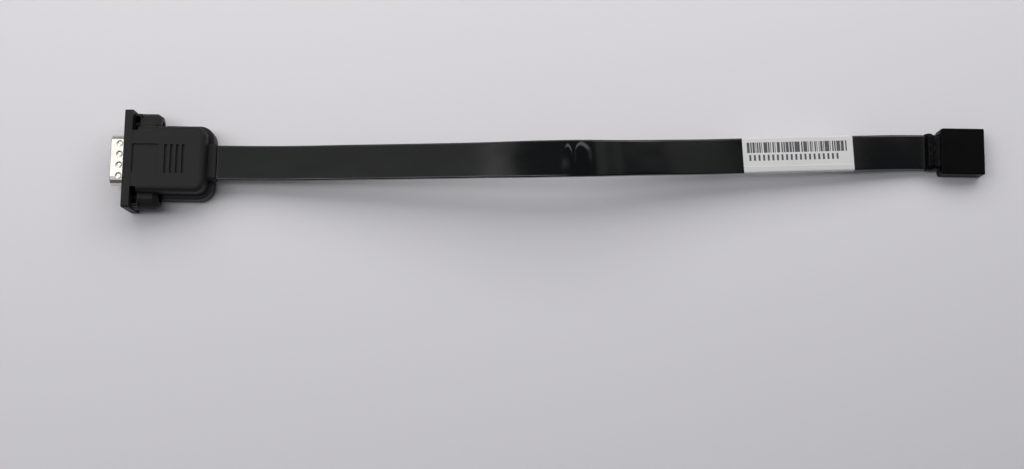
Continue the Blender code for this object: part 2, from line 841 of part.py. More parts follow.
def build_nuts():
    """Hexagonal nuts in the slots behind the plate, one point of each downwards."""
    across_corners = nut_across / math.cos(math.pi / 6)
    turned_hexagon = [(-z, y) for y, z in circle(across_corners, steps=6)]
    mesh = prism_mesh(
        "panel_nut",
        [turned_hexagon, circle(nut_thread_bore, steps=16)],
        0,
        nut_thickness,
    )
    mesh.materials.append(nut_steel)
    for number, side in enumerate((1, -1), 1):
        place = (hood_plate_rear_x + slide_gap, side * screw_y, middle_z)
        add_piece(f"panel_nut_{number}", mesh, None, place, facing_x)


def build_premould():
    """Block round the solder cups, hollow where the wires fan out."""
    outline = rounded(
        rectangle(rear_shell_width, rear_shell_height, (0, middle_z)), premould_corner, 2
    )
    block = add_piece(
        "inner_mould",
        prism_mesh("inner_mould", [outline], premould_x, premould_end_x),
        premould_milk,
        turn=facing_x,
    )
    chamber_end_x = premould_x + cup_chamber_length
    chamber = rectangle(cup_chamber_width, cup_chamber_height, (0, middle_z))
    mesh = prism_mesh("cup_chamber", [chamber], premould_x - mm, chamber_end_x)
    cut(block, add_helper("cup_chamber", mesh, turn=facing_x))
    fan = bmesh.new()
    bmesh.ops.create_cube(fan, size=1)
    fan_end_x = plug_ribbon_end_x + mm
    for vertex in fan.verts:
        near = vertex.co.x < 0
        wide = cup_chamber_width if near else slot_width
        tall = cup_chamber_height if near else slot_height
        vertex.co = (
            chamber_end_x - touch_gap if near else fan_end_x,
            math.copysign(wide / 2, vertex.co.y),
            middle_z + math.copysign(tall / 2, vertex.co.z),
        )
    mesh = bpy.data.meshes.new("wire_fan")
    fan.to_mesh(mesh)
    fan.free()
    cut(block, add_helper("wire_fan", mesh))
    slot = rectangle(slot_width, slot_height, (0, middle_z))
    mesh = prism_mesh("premould_slot", [slot], fan_end_x - touch_gap, premould_end_x + mm)
    cut(block, add_helper("premould_slot", mesh, turn=facing_x))


# Flat cable
def conductor_y(index):
    """Y of a conductor in the ribbon, the first one furthest back."""
    return ((conductor_count - 1) / 2 - index) * conductor_pitch


def cable_points():
    """A smooth curve through the route's points, straight where it leaves the hood and the header."""
    start = Vector((sleeve_start_x, 0, middle_z))
    end = Vector((sleeve_end_x, header_centre_y, header_middle_z))
    knots = [start, *[Vector(place) for place in route], end]
    before = start - Vector((plug_straight, 0, 0))
    after = end + Vector((header_straight, 0, 0))
    knots = [before, *knots, after]
    points = []
    for index in range(1, len(knots) - 2):
        here, there = knots[index], knots[index + 1]
        lead_out = here + (there - knots[index - 1]) / 6
        lead_in = there - (knots[index + 2] - here) / 6
        span = interpolate_bezier(here, lead_out, lead_in, there, route_steps)
        points += span[:-1]
    return [*points, end]


def part_of(points, start_x, end_x):
    """The stretch of a line of points between two X places."""
    stretch = []
    for here, there in zip(points, points[1:]):
        for x in (start_x, end_x):
            if here.x < x < there.x:
                stretch.append(here.lerp(there, (x - here.x) / (there.x - here.x)))
        if start_x < there.x < end_x:
            stretch.append(there)
    return sorted(stretch, key=lambda place: place.x)


def ribbon_outline():
    """Nine round-backed conductors side by side."""
    half = ribbon_thickness / 2
    valley = half - ribbon_groove
    top = []
    for index in range(conductor_count):
        y = conductor_y(index)
        top.append((y + conductor_pitch / 2, valley))
        top.append((y, half))
    top.append((conductor_y(conductor_count - 1) - conductor_pitch / 2, valley))
    return top + [(y, -z) for y, z in reversed(top)]


def build_cable():
    points = cable_points()
    wall = rounded(rectangle(sleeve_width, sleeve_thickness), sleeve_round, 3)
    sleeve = swept("cable_sleeve", points, wall, sleeve_black, capped=False)
    hollow = sleeve.modifiers.new("wall", "SOLIDIFY")
    hollow.thickness = sleeve_wall
    hollow.offset = -1

    plug_end = Vector((plug_ribbon_end_x, 0, middle_z))
    header_end = Vector((header_ribbon_end_x, header_centre_y, header_middle_z))
    swept("ribbon_cable", [plug_end, *points, header_end], ribbon_outline(), ribbon_grey)

    grow = 2 * label_gap
    around = rounded(
        rectangle(sleeve_width + grow, sleeve_thickness + grow), sleeve_round + label_gap, 3
    )
    stretch = part_of(points, label_start_x, label_end_x)
    label = swept("cable_label", stretch, around, label_white, capped=False)
    sheet = label.modifiers.new("sheet", "SOLIDIFY")
    sheet.thickness = label_sheet
    sheet.offset = 1


def build_plug_wires():
    """Wires from the ribbon's end, fanned to the two rows of solder cups."""
    order = [1, 6, 2, 7, 3, 8, 4, 9, 5]
    places = pin_places()
    for index, number in enumerate(order):
        y, z = places[number - 1]
        wire(
            f"plug_wire_{number}",
            [
                (plug_ribbon_end_x - touch_gap, conductor_y(index), middle_z),
                (plug_ribbon_end_x - touch_gap - ribbon_lead, conductor_y(index), middle_z),
                (cup_mouth_x + cup_lead, y, z),
                (cup_mouth_x + bare_lead, y, z),
                (cup_mouth_x - cup_bore_depth + bare_lead, y, z),
            ],
            3,
            wire_grey,
        )


# Header socket: housing, crimped contacts, key and wrap
def header_place(index):
    """Y and Z of a contact: odd ones in the upper row, even ones below."""
    column = index // 2
    y = header_centre_y + ((header_columns - 1) / 2 - column) * header_pitch
    z = header_middle_z + (header_pitch / 2 if index % 2 == 0 else -header_pitch / 2)
    return y, z


def build_header():
    near, far = header_centre_y - header_width / 2, header_centre_y + header_width / 2
    corners = [
        (header_rear_x, near),
        (header_front_x, near),
        (header_front_x, far),
        (header_rear_x, far),
    ]
    radii = [header_rear_corner, header_front_corner, header_front_corner, header_rear_corner]
    body = prism_mesh("header_housing", [rounded(corners, radii, 3)], 0, header_height)
    soften(body, at_level(0), header_edge, 2)
    soften(body, at_level(header_height), header_edge, 2)
    housing = add_piece("header_housing", body, header_black)
    places = [header_place(index) for index in range(2 * header_columns)]
    cavities = [rectangle(cavity_size, cavity_size, place) for place in places]
    mesh = prism_mesh("cavities", cavities, header_rear_x - mm, cavity_end_x)
    cut(housing, add_helper("cavities", mesh, turn=facing_x))
    openings = [rectangle(pin_opening, pin_opening, place) for place in places]
    mesh = prism_mesh("pin_openings", openings, cavity_end_x - mm, header_front_x + mm)
    cut(housing, add_helper("pin_openings", mesh, turn=facing_x))
    funnels = bmesh.new()
    deep_end = pin_opening - funnel_overlap
    open_end = 2 * funnel_opening - deep_end
    for y, z in places:
        turn = Matrix.Rotation(math.pi / 2, 4, "Y") @ Matrix.Rotation(math.pi / 4, 4, "Z")
        bmesh.ops.create_cone(
            funnels,
            cap_ends=True,
            segments=4,
            radius1=deep_end / math.sqrt(2),
            radius2=open_end / math.sqrt(2),
            depth=2 * funnel_depth,
            matrix=Matrix.Translation((header_front_x, y, z)) @ turn,
        )
    mesh = bpy.data.meshes.new("funnels")
    funnels.to_mesh(mesh)
    funnels.free()
    cut(housing, add_helper("funnels", mesh))
    bake(housing)

    key_y, key_z = header_place(2 * header_columns - 1)
    peg = rectangle(cavity_size - 2 * slide_gap, cavity_size - 2 * slide_gap, (key_y, key_z))
    nose = rectangle(pin_opening - slide_gap, pin_opening - slide_gap, (key_y, key_z))
    key = add_piece(
        "key_plug",
        prism_mesh("key_plug", [peg], contact_box_rear_x, contact_front_x),
        header_black,
        turn=facing_x,
    )
    mesh = prism_mesh("key_nose", [nose], contact_front_x - mm, header_front_x - touch_gap)
    join(key, add_helper("key_nose", mesh, turn=facing_x))


def contact_mesh():
    """A folded box, and behind it a crimp barrel, the front at local Z = 0."""
    outer = rounded(rectangle(contact_size, contact_size), contact_corner, 1)
    inside = contact_size - 2 * contact_sheet
    inner = rectangle(inside, inside)
    box = prism_mesh("contact_box", [outer, inner], -contact_box_length, 0)
    form = add_helper("contact_form", box)
    crimp_front = -contact_box_length - contact_neck_length
    bore = crimp_diameter - 2 * contact_sheet
    barrel = prism_mesh(
        "crimp_barrel",
        [circle(crimp_diameter, steps=12), circle(bore, steps=12)],
        crimp_front - crimp_length,
        crimp_front,
    )
    join(form, add_helper("crimp_barrel", barrel))
    strip_level = (contact_sheet - contact_size) / 2 + contact_sheet / 10
    strip = rectangle(contact_neck_width, contact_sheet, (0, strip_level))
    ends = (crimp_front - contact_neck_lap, -contact_box_length + contact_neck_lap)
    neck = prism_mesh("neck", [strip], *ends)
    join(form, add_helper("neck", neck))
    bake(form)
    return form.data


def build_contacts_of_header():
    mesh = contact_mesh()
    mesh.materials.append(contact_tin)
    for index in range(conductor_count):
        y, z = header_place(index)
        add_piece(f"socket_contact_{index + 1}", mesh, None, (contact_front_x, y, z), facing_x)


def build_header_wires():
    """Wires from the ribbon's end, fanned to the two rows of crimp barrels."""
    for index in range(conductor_count):
        y, z = header_place(index)
        from_y = header_centre_y + conductor_y(index)
        wire(
            f"socket_wire_{index + 1}",
            [
                (header_ribbon_end_x + touch_gap, from_y, header_middle_z),
                (header_ribbon_end_x + touch_gap + ribbon_lead, from_y, header_middle_z),
                (header_rear_x + bare_lead, y, z),
                (crimp_rear_x - touch_gap, y, z),
                (crimp_front_x - bare_lead, y, z),
            ],
            3,
            wire_grey,
        )


def build_wrap():
    """Shrunk wrap between the sleeve and the housing: a rolled band and a narrower neck."""
    middle = (header_centre_y, header_middle_z)
    band = rounded(rectangle(wrap_width, wrap_height, middle), wrap_round, 4)
    band_mesh = prism_mesh("header_wrap", [band], wrap_start_x, wrap_start_x + wrap_band_length)
    soften(band_mesh, at_level(wrap_start_x), wrap_edge, 2)
    wrap = add_piece("header_wrap", band_mesh, sleeve_black, turn=facing_x)
    neck = rounded(rectangle(wrap_neck_width, wrap_neck_height, middle), wrap_round, 4)
    neck_start = wrap_start_x + wrap_band_length / 2
    mesh = prism_mesh("wrap_neck", [neck], neck_start, wrap_end_x)
    join(wrap, add_helper("wrap_neck", mesh, turn=facing_x))
    slot = rectangle(slot_width, slot_height, middle)
    mesh = prism_mesh("wrap_slot", [slot], wrap_start_x - mm, wrap_end_x - mm)
    cut(wrap, add_helper("wrap_slot", mesh, turn=facing_x))
    chamber = rectangle(wrap_chamber_width, wrap_chamber_height, middle)
    mesh = prism_mesh("wrap_chamber", [chamber], header_ribbon_end_x + touch_gap, wrap_end_x + mm)
    cut(wrap, add_helper("wrap_chamber", mesh, turn=facing_x))


build_contacts()
build_insulators()
build_front_shell()
build_rear_shell()
build_hood()
build_nuts()
build_premould()
build_plug_wires()
build_cable()
build_header()
build_contacts_of_header()
build_header_wires()
build_wrap()
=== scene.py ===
import math

import bpy
from mathutils import Matrix, Vector


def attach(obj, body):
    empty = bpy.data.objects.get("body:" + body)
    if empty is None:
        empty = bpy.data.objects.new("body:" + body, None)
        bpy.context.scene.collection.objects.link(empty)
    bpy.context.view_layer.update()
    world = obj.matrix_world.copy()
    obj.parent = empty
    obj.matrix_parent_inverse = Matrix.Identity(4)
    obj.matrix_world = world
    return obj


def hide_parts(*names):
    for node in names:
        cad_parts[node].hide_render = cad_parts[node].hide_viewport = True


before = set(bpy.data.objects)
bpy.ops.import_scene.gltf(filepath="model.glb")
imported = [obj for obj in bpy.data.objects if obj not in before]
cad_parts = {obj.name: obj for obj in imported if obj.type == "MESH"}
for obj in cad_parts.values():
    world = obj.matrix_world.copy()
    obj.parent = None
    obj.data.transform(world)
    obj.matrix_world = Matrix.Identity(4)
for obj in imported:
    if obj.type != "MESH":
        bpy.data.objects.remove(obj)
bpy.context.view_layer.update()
bpy.ops.object.select_all(action="DESELECT")
mm = 0.001

# Table and view: a plain pale sheet seen from almost straight above, the cable across its upper half.
# The sheet is smooth card, so it only takes the cable's soft shadow.
table_side = 6.0
bpy.ops.mesh.primitive_plane_add(size=table_side, location=(0, 0, 0))
table_top = bpy.context.active_object
table_top.name = "table_top"

view_elevation = math.radians(81.88)
view_yaw = math.radians(0.83)
view_distance = 506.6 * mm
view_target = Vector((-12.75 * mm, -22.47 * mm, 0))
view_focal_pixels = 1450
picture_width_pixels = 1024
sensor_width = 36.0
view_right = Vector((math.cos(view_yaw), math.sin(view_yaw), 0))
view_ahead = Vector(
    (
        -math.sin(view_yaw) * math.cos(view_elevation),
        math.cos(view_yaw) * math.cos(view_elevation),
        -math.sin(view_elevation),
    )
)
view_up = view_right.cross(view_ahead)
view_turn = Matrix((view_right, view_up, -view_ahead)).transposed().to_4x4()
bpy.ops.object.camera_add()
camera = bpy.context.active_object
camera.name = "camera"
camera.data.sensor_width = sensor_width
camera.data.lens = view_focal_pixels / picture_width_pixels * sensor_width
camera.data.clip_start = 10 * mm
camera.matrix_world = Matrix.Translation(view_target - view_ahead * view_distance) @ view_turn
bpy.context.scene.camera = camera
bpy.context.scene.view_settings.view_transform = "Standard"

# Studio light: one soft panel overhead and one behind the table, with a dark gap between them that
# level faces mirror to the camera. Dimmer panels at both sides and one small pane show in the bent
# sleeve, and a faint even room lies round it all.
soft_white = (1.0, 0.985, 0.985)
side_white = (1.0, 1.0, 0.98)
pane_white = (1.0, 0.99, 0.93)
room_grey = (0.107, 0.112, 0.124)


def light_panel(name, place, width, depth, radiance, colour):
    """A soft rectangle of light at a place, level along X and turned to the cable's line."""
    bpy.ops.object.light_add(type="AREA", location=place)
    panel = bpy.context.active_object
    panel.name = name
    panel.data.shape = "RECTANGLE"
    panel.data.size = width
    panel.data.size_y = depth
    panel.data.energy = radiance * math.pi * width * depth
    panel.data.color = colour
    panel.visible_camera = False
    aim = Vector((0, -place[1], -place[2]))
    panel.rotation_euler = aim.to_track_quat("-Z", "Y").to_euler()


light_panel("overhead_panel", (-0.38, -0.015, 0.91), 0.76, 0.20, 3.55, soft_white)
light_panel("back_panel", (0.06, 0.285, 0.32), 0.76, 0.36, 1.82, soft_white)
light_panel("left_side_panel", (-0.54, 0.086, 0.452), 0.36, 0.36, 1.7, soft_white)
light_panel("right_side_panel", (0.64, 0.39, 0.60), 0.36, 0.36, 1.6, soft_white)
light_panel("left_panel", (-0.375, 0.11, 0.66), 0.37, 0.36, 0.42, side_white)
light_panel("right_panel", (0.385, 0.125, 0.66), 0.07, 0.36, 0.31, side_white)
light_panel("small_pane", (-0.165, 0.084, 0.5), 0.028, 0.05, 0.7, pane_white)
room = bpy.data.worlds.new("pale_room")
bpy.context.scene.world = room
room.use_nodes = True
room.node_tree.nodes["Background"].inputs["Color"].default_value = (*room_grey, 1)


# Table's finish: uncoated white card with the faintest cloudiness, as a large sheet has.
# It is matt, so that no panel shows in it.
class Shade:
    """One value of a finish while it is mixed: arithmetic on it adds Math nodes."""

    def __init__(self, tree, socket):
        self.tree = tree
        self.socket = socket

    def node(self, kind, settings, values, output=0):
        """Any other node: its settings first, then the values or links of its sockets."""
        made = self.tree.nodes.new(kind)
        for name, setting in settings.items():
            setattr(made, name, setting)
        for name, value in values.items():
            if isinstance(value, Shade):
                self.tree.links.new(value.socket, made.inputs[name])
            else:
                made.inputs[name].default_value = value
        return Shade(self.tree, made.outputs[output])

    def maths(self, operation, other=0.0):
        return self.node("ShaderNodeMath", {"operation": operation}, {0: self, 1: other})

    def __add__(self, other):
        return self.maths("ADD", other)

    __radd__ = __add__

    def __sub__(self, other):
        return self.maths("SUBTRACT", other)

    def __rsub__(self, other):
        return self.maths("MULTIPLY", -1.0) + other

    def __mul__(self, other):
        return self.maths("MULTIPLY", other)

    __rmul__ = __mul__

    def __gt__(self, other):
        return self.maths("GREATER_THAN", other)

    def __lt__(self, other):
        return self.maths("LESS_THAN", other)

    def within(self, low, high):
        """1 where this value lies between the two, 0 elsewhere."""
        return (self > low) * (self < high)

    def axes(self):
        """The X, Y and Z of these coordinates, as three values."""
        split = self.node("ShaderNodeSeparateXYZ", {}, {"Vector": self})
        return [Shade(self.tree, output) for output in split.socket.node.outputs]

    def noise(self, scale, detail=2.0, roughness=0.5):
        """Uneven cloud from 0 to 1 over the piece's own coordinates, features 1 / scale across."""
        values = {"Vector": self, "Scale": scale, "Detail": detail, "Roughness": roughness}
        return self.node("ShaderNodeTexNoise", {}, values)

    def stretched(self, x, y, z):
        """The same coordinates, scaled, so that a cloud drawn on them becomes streaks."""
        return self.node("ShaderNodeMapping", {}, {"Vector": self, "Scale": (x, y, z)})

    def mixed(self, low, high):
        """A colour that goes from low to high as this value goes from 0 to 1."""
        low = low if isinstance(low, Shade) else (*low, 1)
        high = high if isinstance(high, Shade) else (*high, 1)
        settings = {"data_type": "RGBA", "clamp_factor": True}
        # The Mix node's colours are its sockets 6 and 7, and its mixed colour is output 2.
        return self.node("ShaderNodeMix", settings, {"Factor": self, 6: low, 7: high}, output=2)

    def ramp(self, low, high):
        """0 below low, 1 above high, and a smooth slope between them."""
        values = {"Value": self, "From Min": low, "From Max": high}
        return self.node("ShaderNodeMapRange", {"interpolation_type": "SMOOTHSTEP"}, values)

    def bump(self, height, strength):
        """A normal that shows this value as relief of that height, in metres."""
        values = {"Height": self, "Distance": height, "Strength": strength}
        return self.node("ShaderNodeBump", {}, values)


def new_finish(name, constants):
    """A material: the constants go straight on its shader, and the place on the piece comes back."""
    made = bpy.data.materials.new(name)
    made.use_nodes = True
    shader = made.node_tree.nodes["Principled BSDF"]
    for socket, value in constants.items():
        shader.inputs[socket].default_value = value
    places = made.node_tree.nodes.new("ShaderNodeTexCoord")
    return made, Shade(made.node_tree, places.outputs["Object"])


def feed(finish, **values):
    """Links mixed values to the shader, as Base_Color=..., Roughness=..., Normal=..."""
    shader = finish.node_tree.nodes["Principled BSDF"]
    for name, value in values.items():
        finish.node_tree.links.new(value.socket, shader.inputs[name.replace("_", " ")])


card_dull = (0.79, 0.78, 0.80)
card_bright = (0.82, 0.81, 0.83)
card, place = new_finish("pale_card", {"Roughness": 0.75, "Specular IOR Level": 0.25})
feed(card, Base_Color=place.noise(3.0, 3.0).mixed(card_dull, card_bright))
table_top.data.materials.append(card)

# Flat cable's sleeve: thin black extruded film, half-gloss, pulled over a flat ribbon cable.
# It runs from the hood's collar to the wrap at the header, holds the arch it was bent to, and its
# loose film has buckled at the top of the arch.
sleeve_width = 12.2 * mm
sleeve_thickness = 2.0 * mm
sleeve_wall = 0.25 * mm
sleeve_round = 0.45 * mm
straight_at_hood = 12 * mm
straight_at_header = 14 * mm
# Middle line as X, Y, Z in millimetres, its points given one by one.
route = [
    (-114.9, 0.0, 7.375),
    (-101.0, 0.0, 7.6),
    (-88.0, 0.0, 8.8),
    (-71.5, 0.1, 11.0),
    (-50.5, 0.1, 14.2),
    (-33.0, 0.1, 17.0),
    (-17.0, 0.2, 19.4),
    (-1.5, 0.4, 21.3),
    (10.5, 0.7, 21.6),
    (23.0, 1.5, 18.9),
    (38.5, 2.7, 14.9),
    (52.5, 3.6, 12.2),
    (67.0, 4.6, 10.1),
    (86.0, 5.8, 8.1),
    (106.0, 6.9, 6.2),
    (120.0, 7.7, 4.6),
    (131.24, 8.1, 3.3),
]


def smooth_route(steps):
    """Points on a smooth curve through the route, which starts and ends towards level pieces."""
    knots = [Vector(point) * mm for point in route]
    knots = [
        knots[0] - Vector((straight_at_hood, 0, 0)),
        *knots,
        knots[-1] + Vector((straight_at_header, 0, 0)),
    ]
    line = []
    for index in range(1, len(knots) - 2):
        here, there = knots[index], knots[index + 1]
        leaving = (there - knots[index - 1]) / 2
        arriving = (knots[index + 2] - here) / 2
        for step in range(steps):
            t = step / steps
            line.append(
                here * (2 * t**3 - 3 * t**2 + 1)
                + leaving * (t**3 - 2 * t**2 + t)
                + there * (3 * t**2 - 2 * t**3)
                + arriving * (t**3 - t**2)
            )
    return [*line, knots[-2]]


route_steps = 16
cable_line = smooth_route(route_steps)

ring_spacing = 0.32 * mm
corner_steps = 7


def flat_ring(width, thickness, corner):
    """Outline of a flat tube, as (across, up), anticlockwise from the middle of its top."""
    half_width, half_thickness = width / 2 - corner, thickness / 2 - corner
    ring = []
    for quarter, (side, level) in enumerate(((-1, 1), (-1, -1), (1, -1), (1, 1))):
        centre = Vector((side * half_width, level * half_thickness))
        for step in range(corner_steps + 1):
            angle = math.pi / 2 * (quarter + 1 + step / corner_steps)
            ring.append(centre + corner * Vector((math.cos(angle), math.sin(angle))))
    outline = []
    for index, here in enumerate(ring):
        there = ring[(index + 1) % len(ring)]
        outline.append(here)
        gap = (there - here).length
        if gap > corner:
            steps = max(1, round(gap / ring_spacing))
            outline += [here.lerp(there, step / steps) for step in range(1, steps)]
    return outline


def carried(name, line, ring, lift, spread=lambda x: 1.0):
    """A tube mesh: the ring carried upright along the line, lifted and spread place by place."""
    verts = []
    for index, middle in enumerate(line):
        before = line[max(index - 1, 0)]
        after = line[min(index + 1, len(line) - 1)]
        ahead = (after - before).normalized()
        side = Vector((-ahead.y, ahead.x, 0)).normalized()
        up = ahead.cross(side)
        for across, level in ring:
            moved = level + lift(middle.x, across, level)
            verts.append(middle + side * across * spread(middle.x) + up * moved)
    count = len(ring)
    faces = []
    for row in range(len(line) - 1):
        for index in range(count):
            nearer = row * count + index
            beside = row * count + (index + 1) % count
            faces.append((nearer, beside, beside + count, nearer + count))
    mesh = bpy.data.meshes.new(name)
    mesh.from_pydata(verts, [], faces)
    piece = bpy.data.objects.new(name, mesh)
    bpy.context.scene.collection.objects.link(piece)
    mesh.shade_smooth()
    return piece


rim_angle = math.radians(50)


def apply_wall(piece, thickness, inwards):
    """Gives a thin mesh its wall, keeps the result, and leaves the rims at its ends sharp."""
    bpy.context.view_layer.objects.active = piece
    wall = piece.modifiers.new("wall", "SOLIDIFY")
    wall.thickness = thickness
    wall.offset = -1 if inwards else 1
    bpy.ops.object.modifier_apply(modifier="wall")
    piece.data.set_sharp_from_angle(angle=rim_angle)


# Places and sizes of the film's ripples and buckles are in millimetres, places as (X, across).
ripple_height = 0.012
ripple_length = 7.3
ripple_breadth = 2.6
ripple_drift = 31
fine_height = 0.006
fine_length = 3.1
fine_breadth = 1.9
crease_x = 7.6
buckle_height = 0.13
# Each buckle is steep towards the crease and turns to a gentle slope on its other side. Both slopes
# are shares of its half width.
right_buckle = {
    "centre": (crease_x + 3.2, 1.3),
    "half_width": 3.1,
    "half_length": 4.3,
    "near_end": -3.5,
    "steep": 0.24,
    "gentle": 0.64,
    "turn": (crease_x + 1.8, crease_x + 4.5),
}
left_buckle = {
    "centre": (crease_x - 2.7, 0.8),
    "half_width": 2.5,
    "half_length": 4.6,
    "near_end": -5.0,
    "steep": 0.26,
    "gentle": 0.95,
    "turn": (crease_x - 1.6, crease_x - 3.2),
}
pimple = (11.6, -1.6)
pimple_height = 0.02
pimple_radius = 0.7
slack_x = 2.0
slack_reach = 19
slack_share = 0.032


def eased(value, low, high):
    """0 at low, 1 at high and smooth between; low may be the greater one."""
    part = min(1.0, max(0.0, (value - low) / (high - low)))
    return part * part * (3 - 2 * part)


def blister(x, across, centre, half_width, half_length, near_end, steep, gentle, turn):
    """Height from 0 to 1 of a raised oval buckle, which runs out gently to its near end."""
    beside = (x - centre[0]) / half_width
    beyond = max(0.0, across - centre[1]) / half_length
    slope = steep + (gentle - steep) * eased(x, *turn)
    oval = eased(math.hypot(beside, beyond), 1.0, 1.0 - slope)
    return oval * eased(across, near_end, centre[1] + 1.0)


def film_lift(x, across, level):
    """How far the loose film stands off its even shape."""
    x, across = x / mm, across / mm
    top = max(0.0, level / (sleeve_thickness / 2))
    edge = 1 - min(1.0, abs(across) / (sleeve_width / mm / 2)) ** 6
    slow = math.sin(x / ripple_length + 0.6) * math.sin(across / ripple_breadth + x / ripple_drift)
    fine = math.sin(x / fine_length) * math.cos(across / fine_breadth)
    rise = ripple_height * slow + fine_height * fine
    for buckle in (right_buckle, left_buckle):
        rise += buckle_height * blister(x, across, **buckle)
    away = math.hypot(x - pimple[0], across - pimple[1]) / pimple_radius
    rise += pimple_height * math.exp(-(away**2))
    return rise * mm * top * edge


def film_spread(x):
    """The buckled film is a little wider than the rest round the top of the arch."""
    return 1 + slack_share * math.exp(-(((x / mm - slack_x) / slack_reach) ** 4))


# Rings stand closer together where the film is buckled.
fine_steps = 64
buckled_from = -1 * mm
buckled_to = 17 * mm
bend_line = smooth_route(fine_steps)
fine_line = [
    point
    for index, point in enumerate(bend_line)
    if index % (fine_steps // route_steps) == 0 or buckled_from < point.x < buckled_to
]
sleeve_ring = flat_ring(sleeve_width, sleeve_thickness, sleeve_round)
cable_sleeve = carried("sleeve_film", fine_line, sleeve_ring, film_lift, film_spread)
apply_wall(cable_sleeve, sleeve_wall, inwards=True)
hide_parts("cable_sleeve")
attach(cable_sleeve, "root")

film_black = (0.0012, 0.0014, 0.0014)
film_dusty = (0.01, 0.01, 0.01)
film, place = new_finish("sleeve_film", {"IOR": 1.5, "Specular IOR Level": 0.5})
smear = place.stretched(1, 3, 3).noise(60, 3.0)
grain = place.stretched(0.25, 1, 1).noise(2600, 2.0)
dust = place.noise(900, 4.0, 0.7).ramp(0.66, 0.74)
feed(
    film,
    Base_Color=(dust * 0.4).mixed(film_black, film_dusty),
    Roughness=smear * 0.08 + dust * 0.2 + 0.07,
    Normal=(grain * 0.6 + smear * 0.4).bump(0.012 * mm, 0.2),
)
cable_sleeve.data.materials.append(film)

# Ribbon inside the sleeve: nine insulated conductors moulded side by side, grey.
# It ends in the hood's pre-mould at one end and in the header's wrap at the other.
conductors = 9
conductor_pitch = 1.27 * mm
conductor_steps = 8
ribbon_thickness = 0.9 * mm
ribbon_groove = 0.2 * mm
ribbon_fullness = 0.6
ribbon_start = Vector((-129.3 * mm, 0, 7.375 * mm))
ribbon_end = Vector((131.9 * mm, 8.1 * mm, 3.3 * mm))
ribbon_line = [ribbon_start, *cable_line, ribbon_end]
ribs = []
for step in range(conductors * conductor_steps + 1):
    across = (conductors / 2 - step / conductor_steps) * conductor_pitch
    bulge = abs(math.sin(math.pi * step / conductor_steps)) ** ribbon_fullness
    ribs.append((across, ribbon_thickness / 2 - ribbon_groove * (1 - bulge)))
ribbon_ring = ribs + [(across, -level) for across, level in reversed(ribs)]
ribbon = carried("ribbon", ribbon_line, ribbon_ring, lambda x, across, level: 0.0)
bpy.context.view_layer.objects.active = ribbon
bpy.ops.object.mode_set(mode="EDIT")
bpy.ops.mesh.select_all(action="DESELECT")
bpy.ops.mesh.select_mode(type="EDGE")
bpy.ops.mesh.select_non_manifold()
bpy.ops.mesh.fill()
bpy.ops.mesh.select_all(action="SELECT")
bpy.ops.mesh.normals_make_consistent(inside=False)
bpy.ops.object.mode_set(mode="OBJECT")
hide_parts("ribbon_cable")
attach(ribbon, "root")

insulation_dull = (0.27, 0.28, 0.30)
insulation_pale = (0.33, 0.34, 0.36)
insulation, place = new_finish("ribbon_insulation", {"IOR": 1.45})
rub = place.noise(220, 3.0)
feed(
    insulation,
    Base_Color=rub.mixed(insulation_dull, insulation_pale),
    Roughness=rub * 0.15 + 0.4,
)
ribbon.data.materials.append(insulation)

# Label: a white printed film wrapped once round the sleeve, its end stuck down over its start.
# Bars are printed on it near its far edge, and a row of plain upright marks below them.
# A thin shadow is painted along the edge of the lap.
label_start = 66.0 * mm
label_end = 105.4 * mm
label_gap = 0.06 * mm
label_sheet = 0.12 * mm
lap_across = -4.2 * mm
lap_step = 0.07 * mm
lap_steepness = 14 / mm
label_line = [point for point in bend_line if label_start < point.x < label_end]
label_ring = flat_ring(
    sleeve_width + 2 * label_gap, sleeve_thickness + 2 * label_gap, sleeve_round + label_gap
)


def label_lift(x, across, level):
    """The film's end lies over its start along the near side of the top."""
    lapped = 1 / (1 + math.exp((across - lap_across) * lap_steepness))
    return film_lift(x, across, level) + (lap_step * lapped if level > 0 else 0.0)


label = carried("printed_label", label_line, label_ring, label_lift)
apply_wall(label, label_sheet, inwards=False)
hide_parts("cable_label")
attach(label, "root")

# The print starts at print_start, near the label's left end, and is turned along the cable there.
print_start = (66 * mm, 4.55 * mm, 0)
before_label, past_label = route[12], route[14]
print_turn = math.atan2(past_label[1] - before_label[1], past_label[0] - before_label[0])
bar_module = 0.26 * mm
# Share of the modules left blank, for the first, second and third of every three.
bar_blanks = (0.05, 0.24, 0.60)
bars_from, bars_to = 1.9 * mm, 37.3 * mm
bars_low, bars_high = 0.75 * mm, 4.4 * mm
mark_pitch = 1.62 * mm
mark_blank = 0.55
marks_from, marks_to = 2.0 * mm, 34.0 * mm
marks_low, marks_high = -2.0 * mm, 0.05 * mm
# The lap line is painted shadow: a thin darker line where the film's end steps down onto its start.
# Past it, towards the near edge, the lapped band is painted a little greyer.
lap_line_low, lap_line_high = -4.45 * mm, -4.25 * mm
lap_line_painted_shadow = 0.22
lapped_shade = 0.07
paper_dull = (0.72, 0.72, 0.71)
paper_bright = (0.77, 0.77, 0.76)
ink_black = (0.05, 0.05, 0.055)

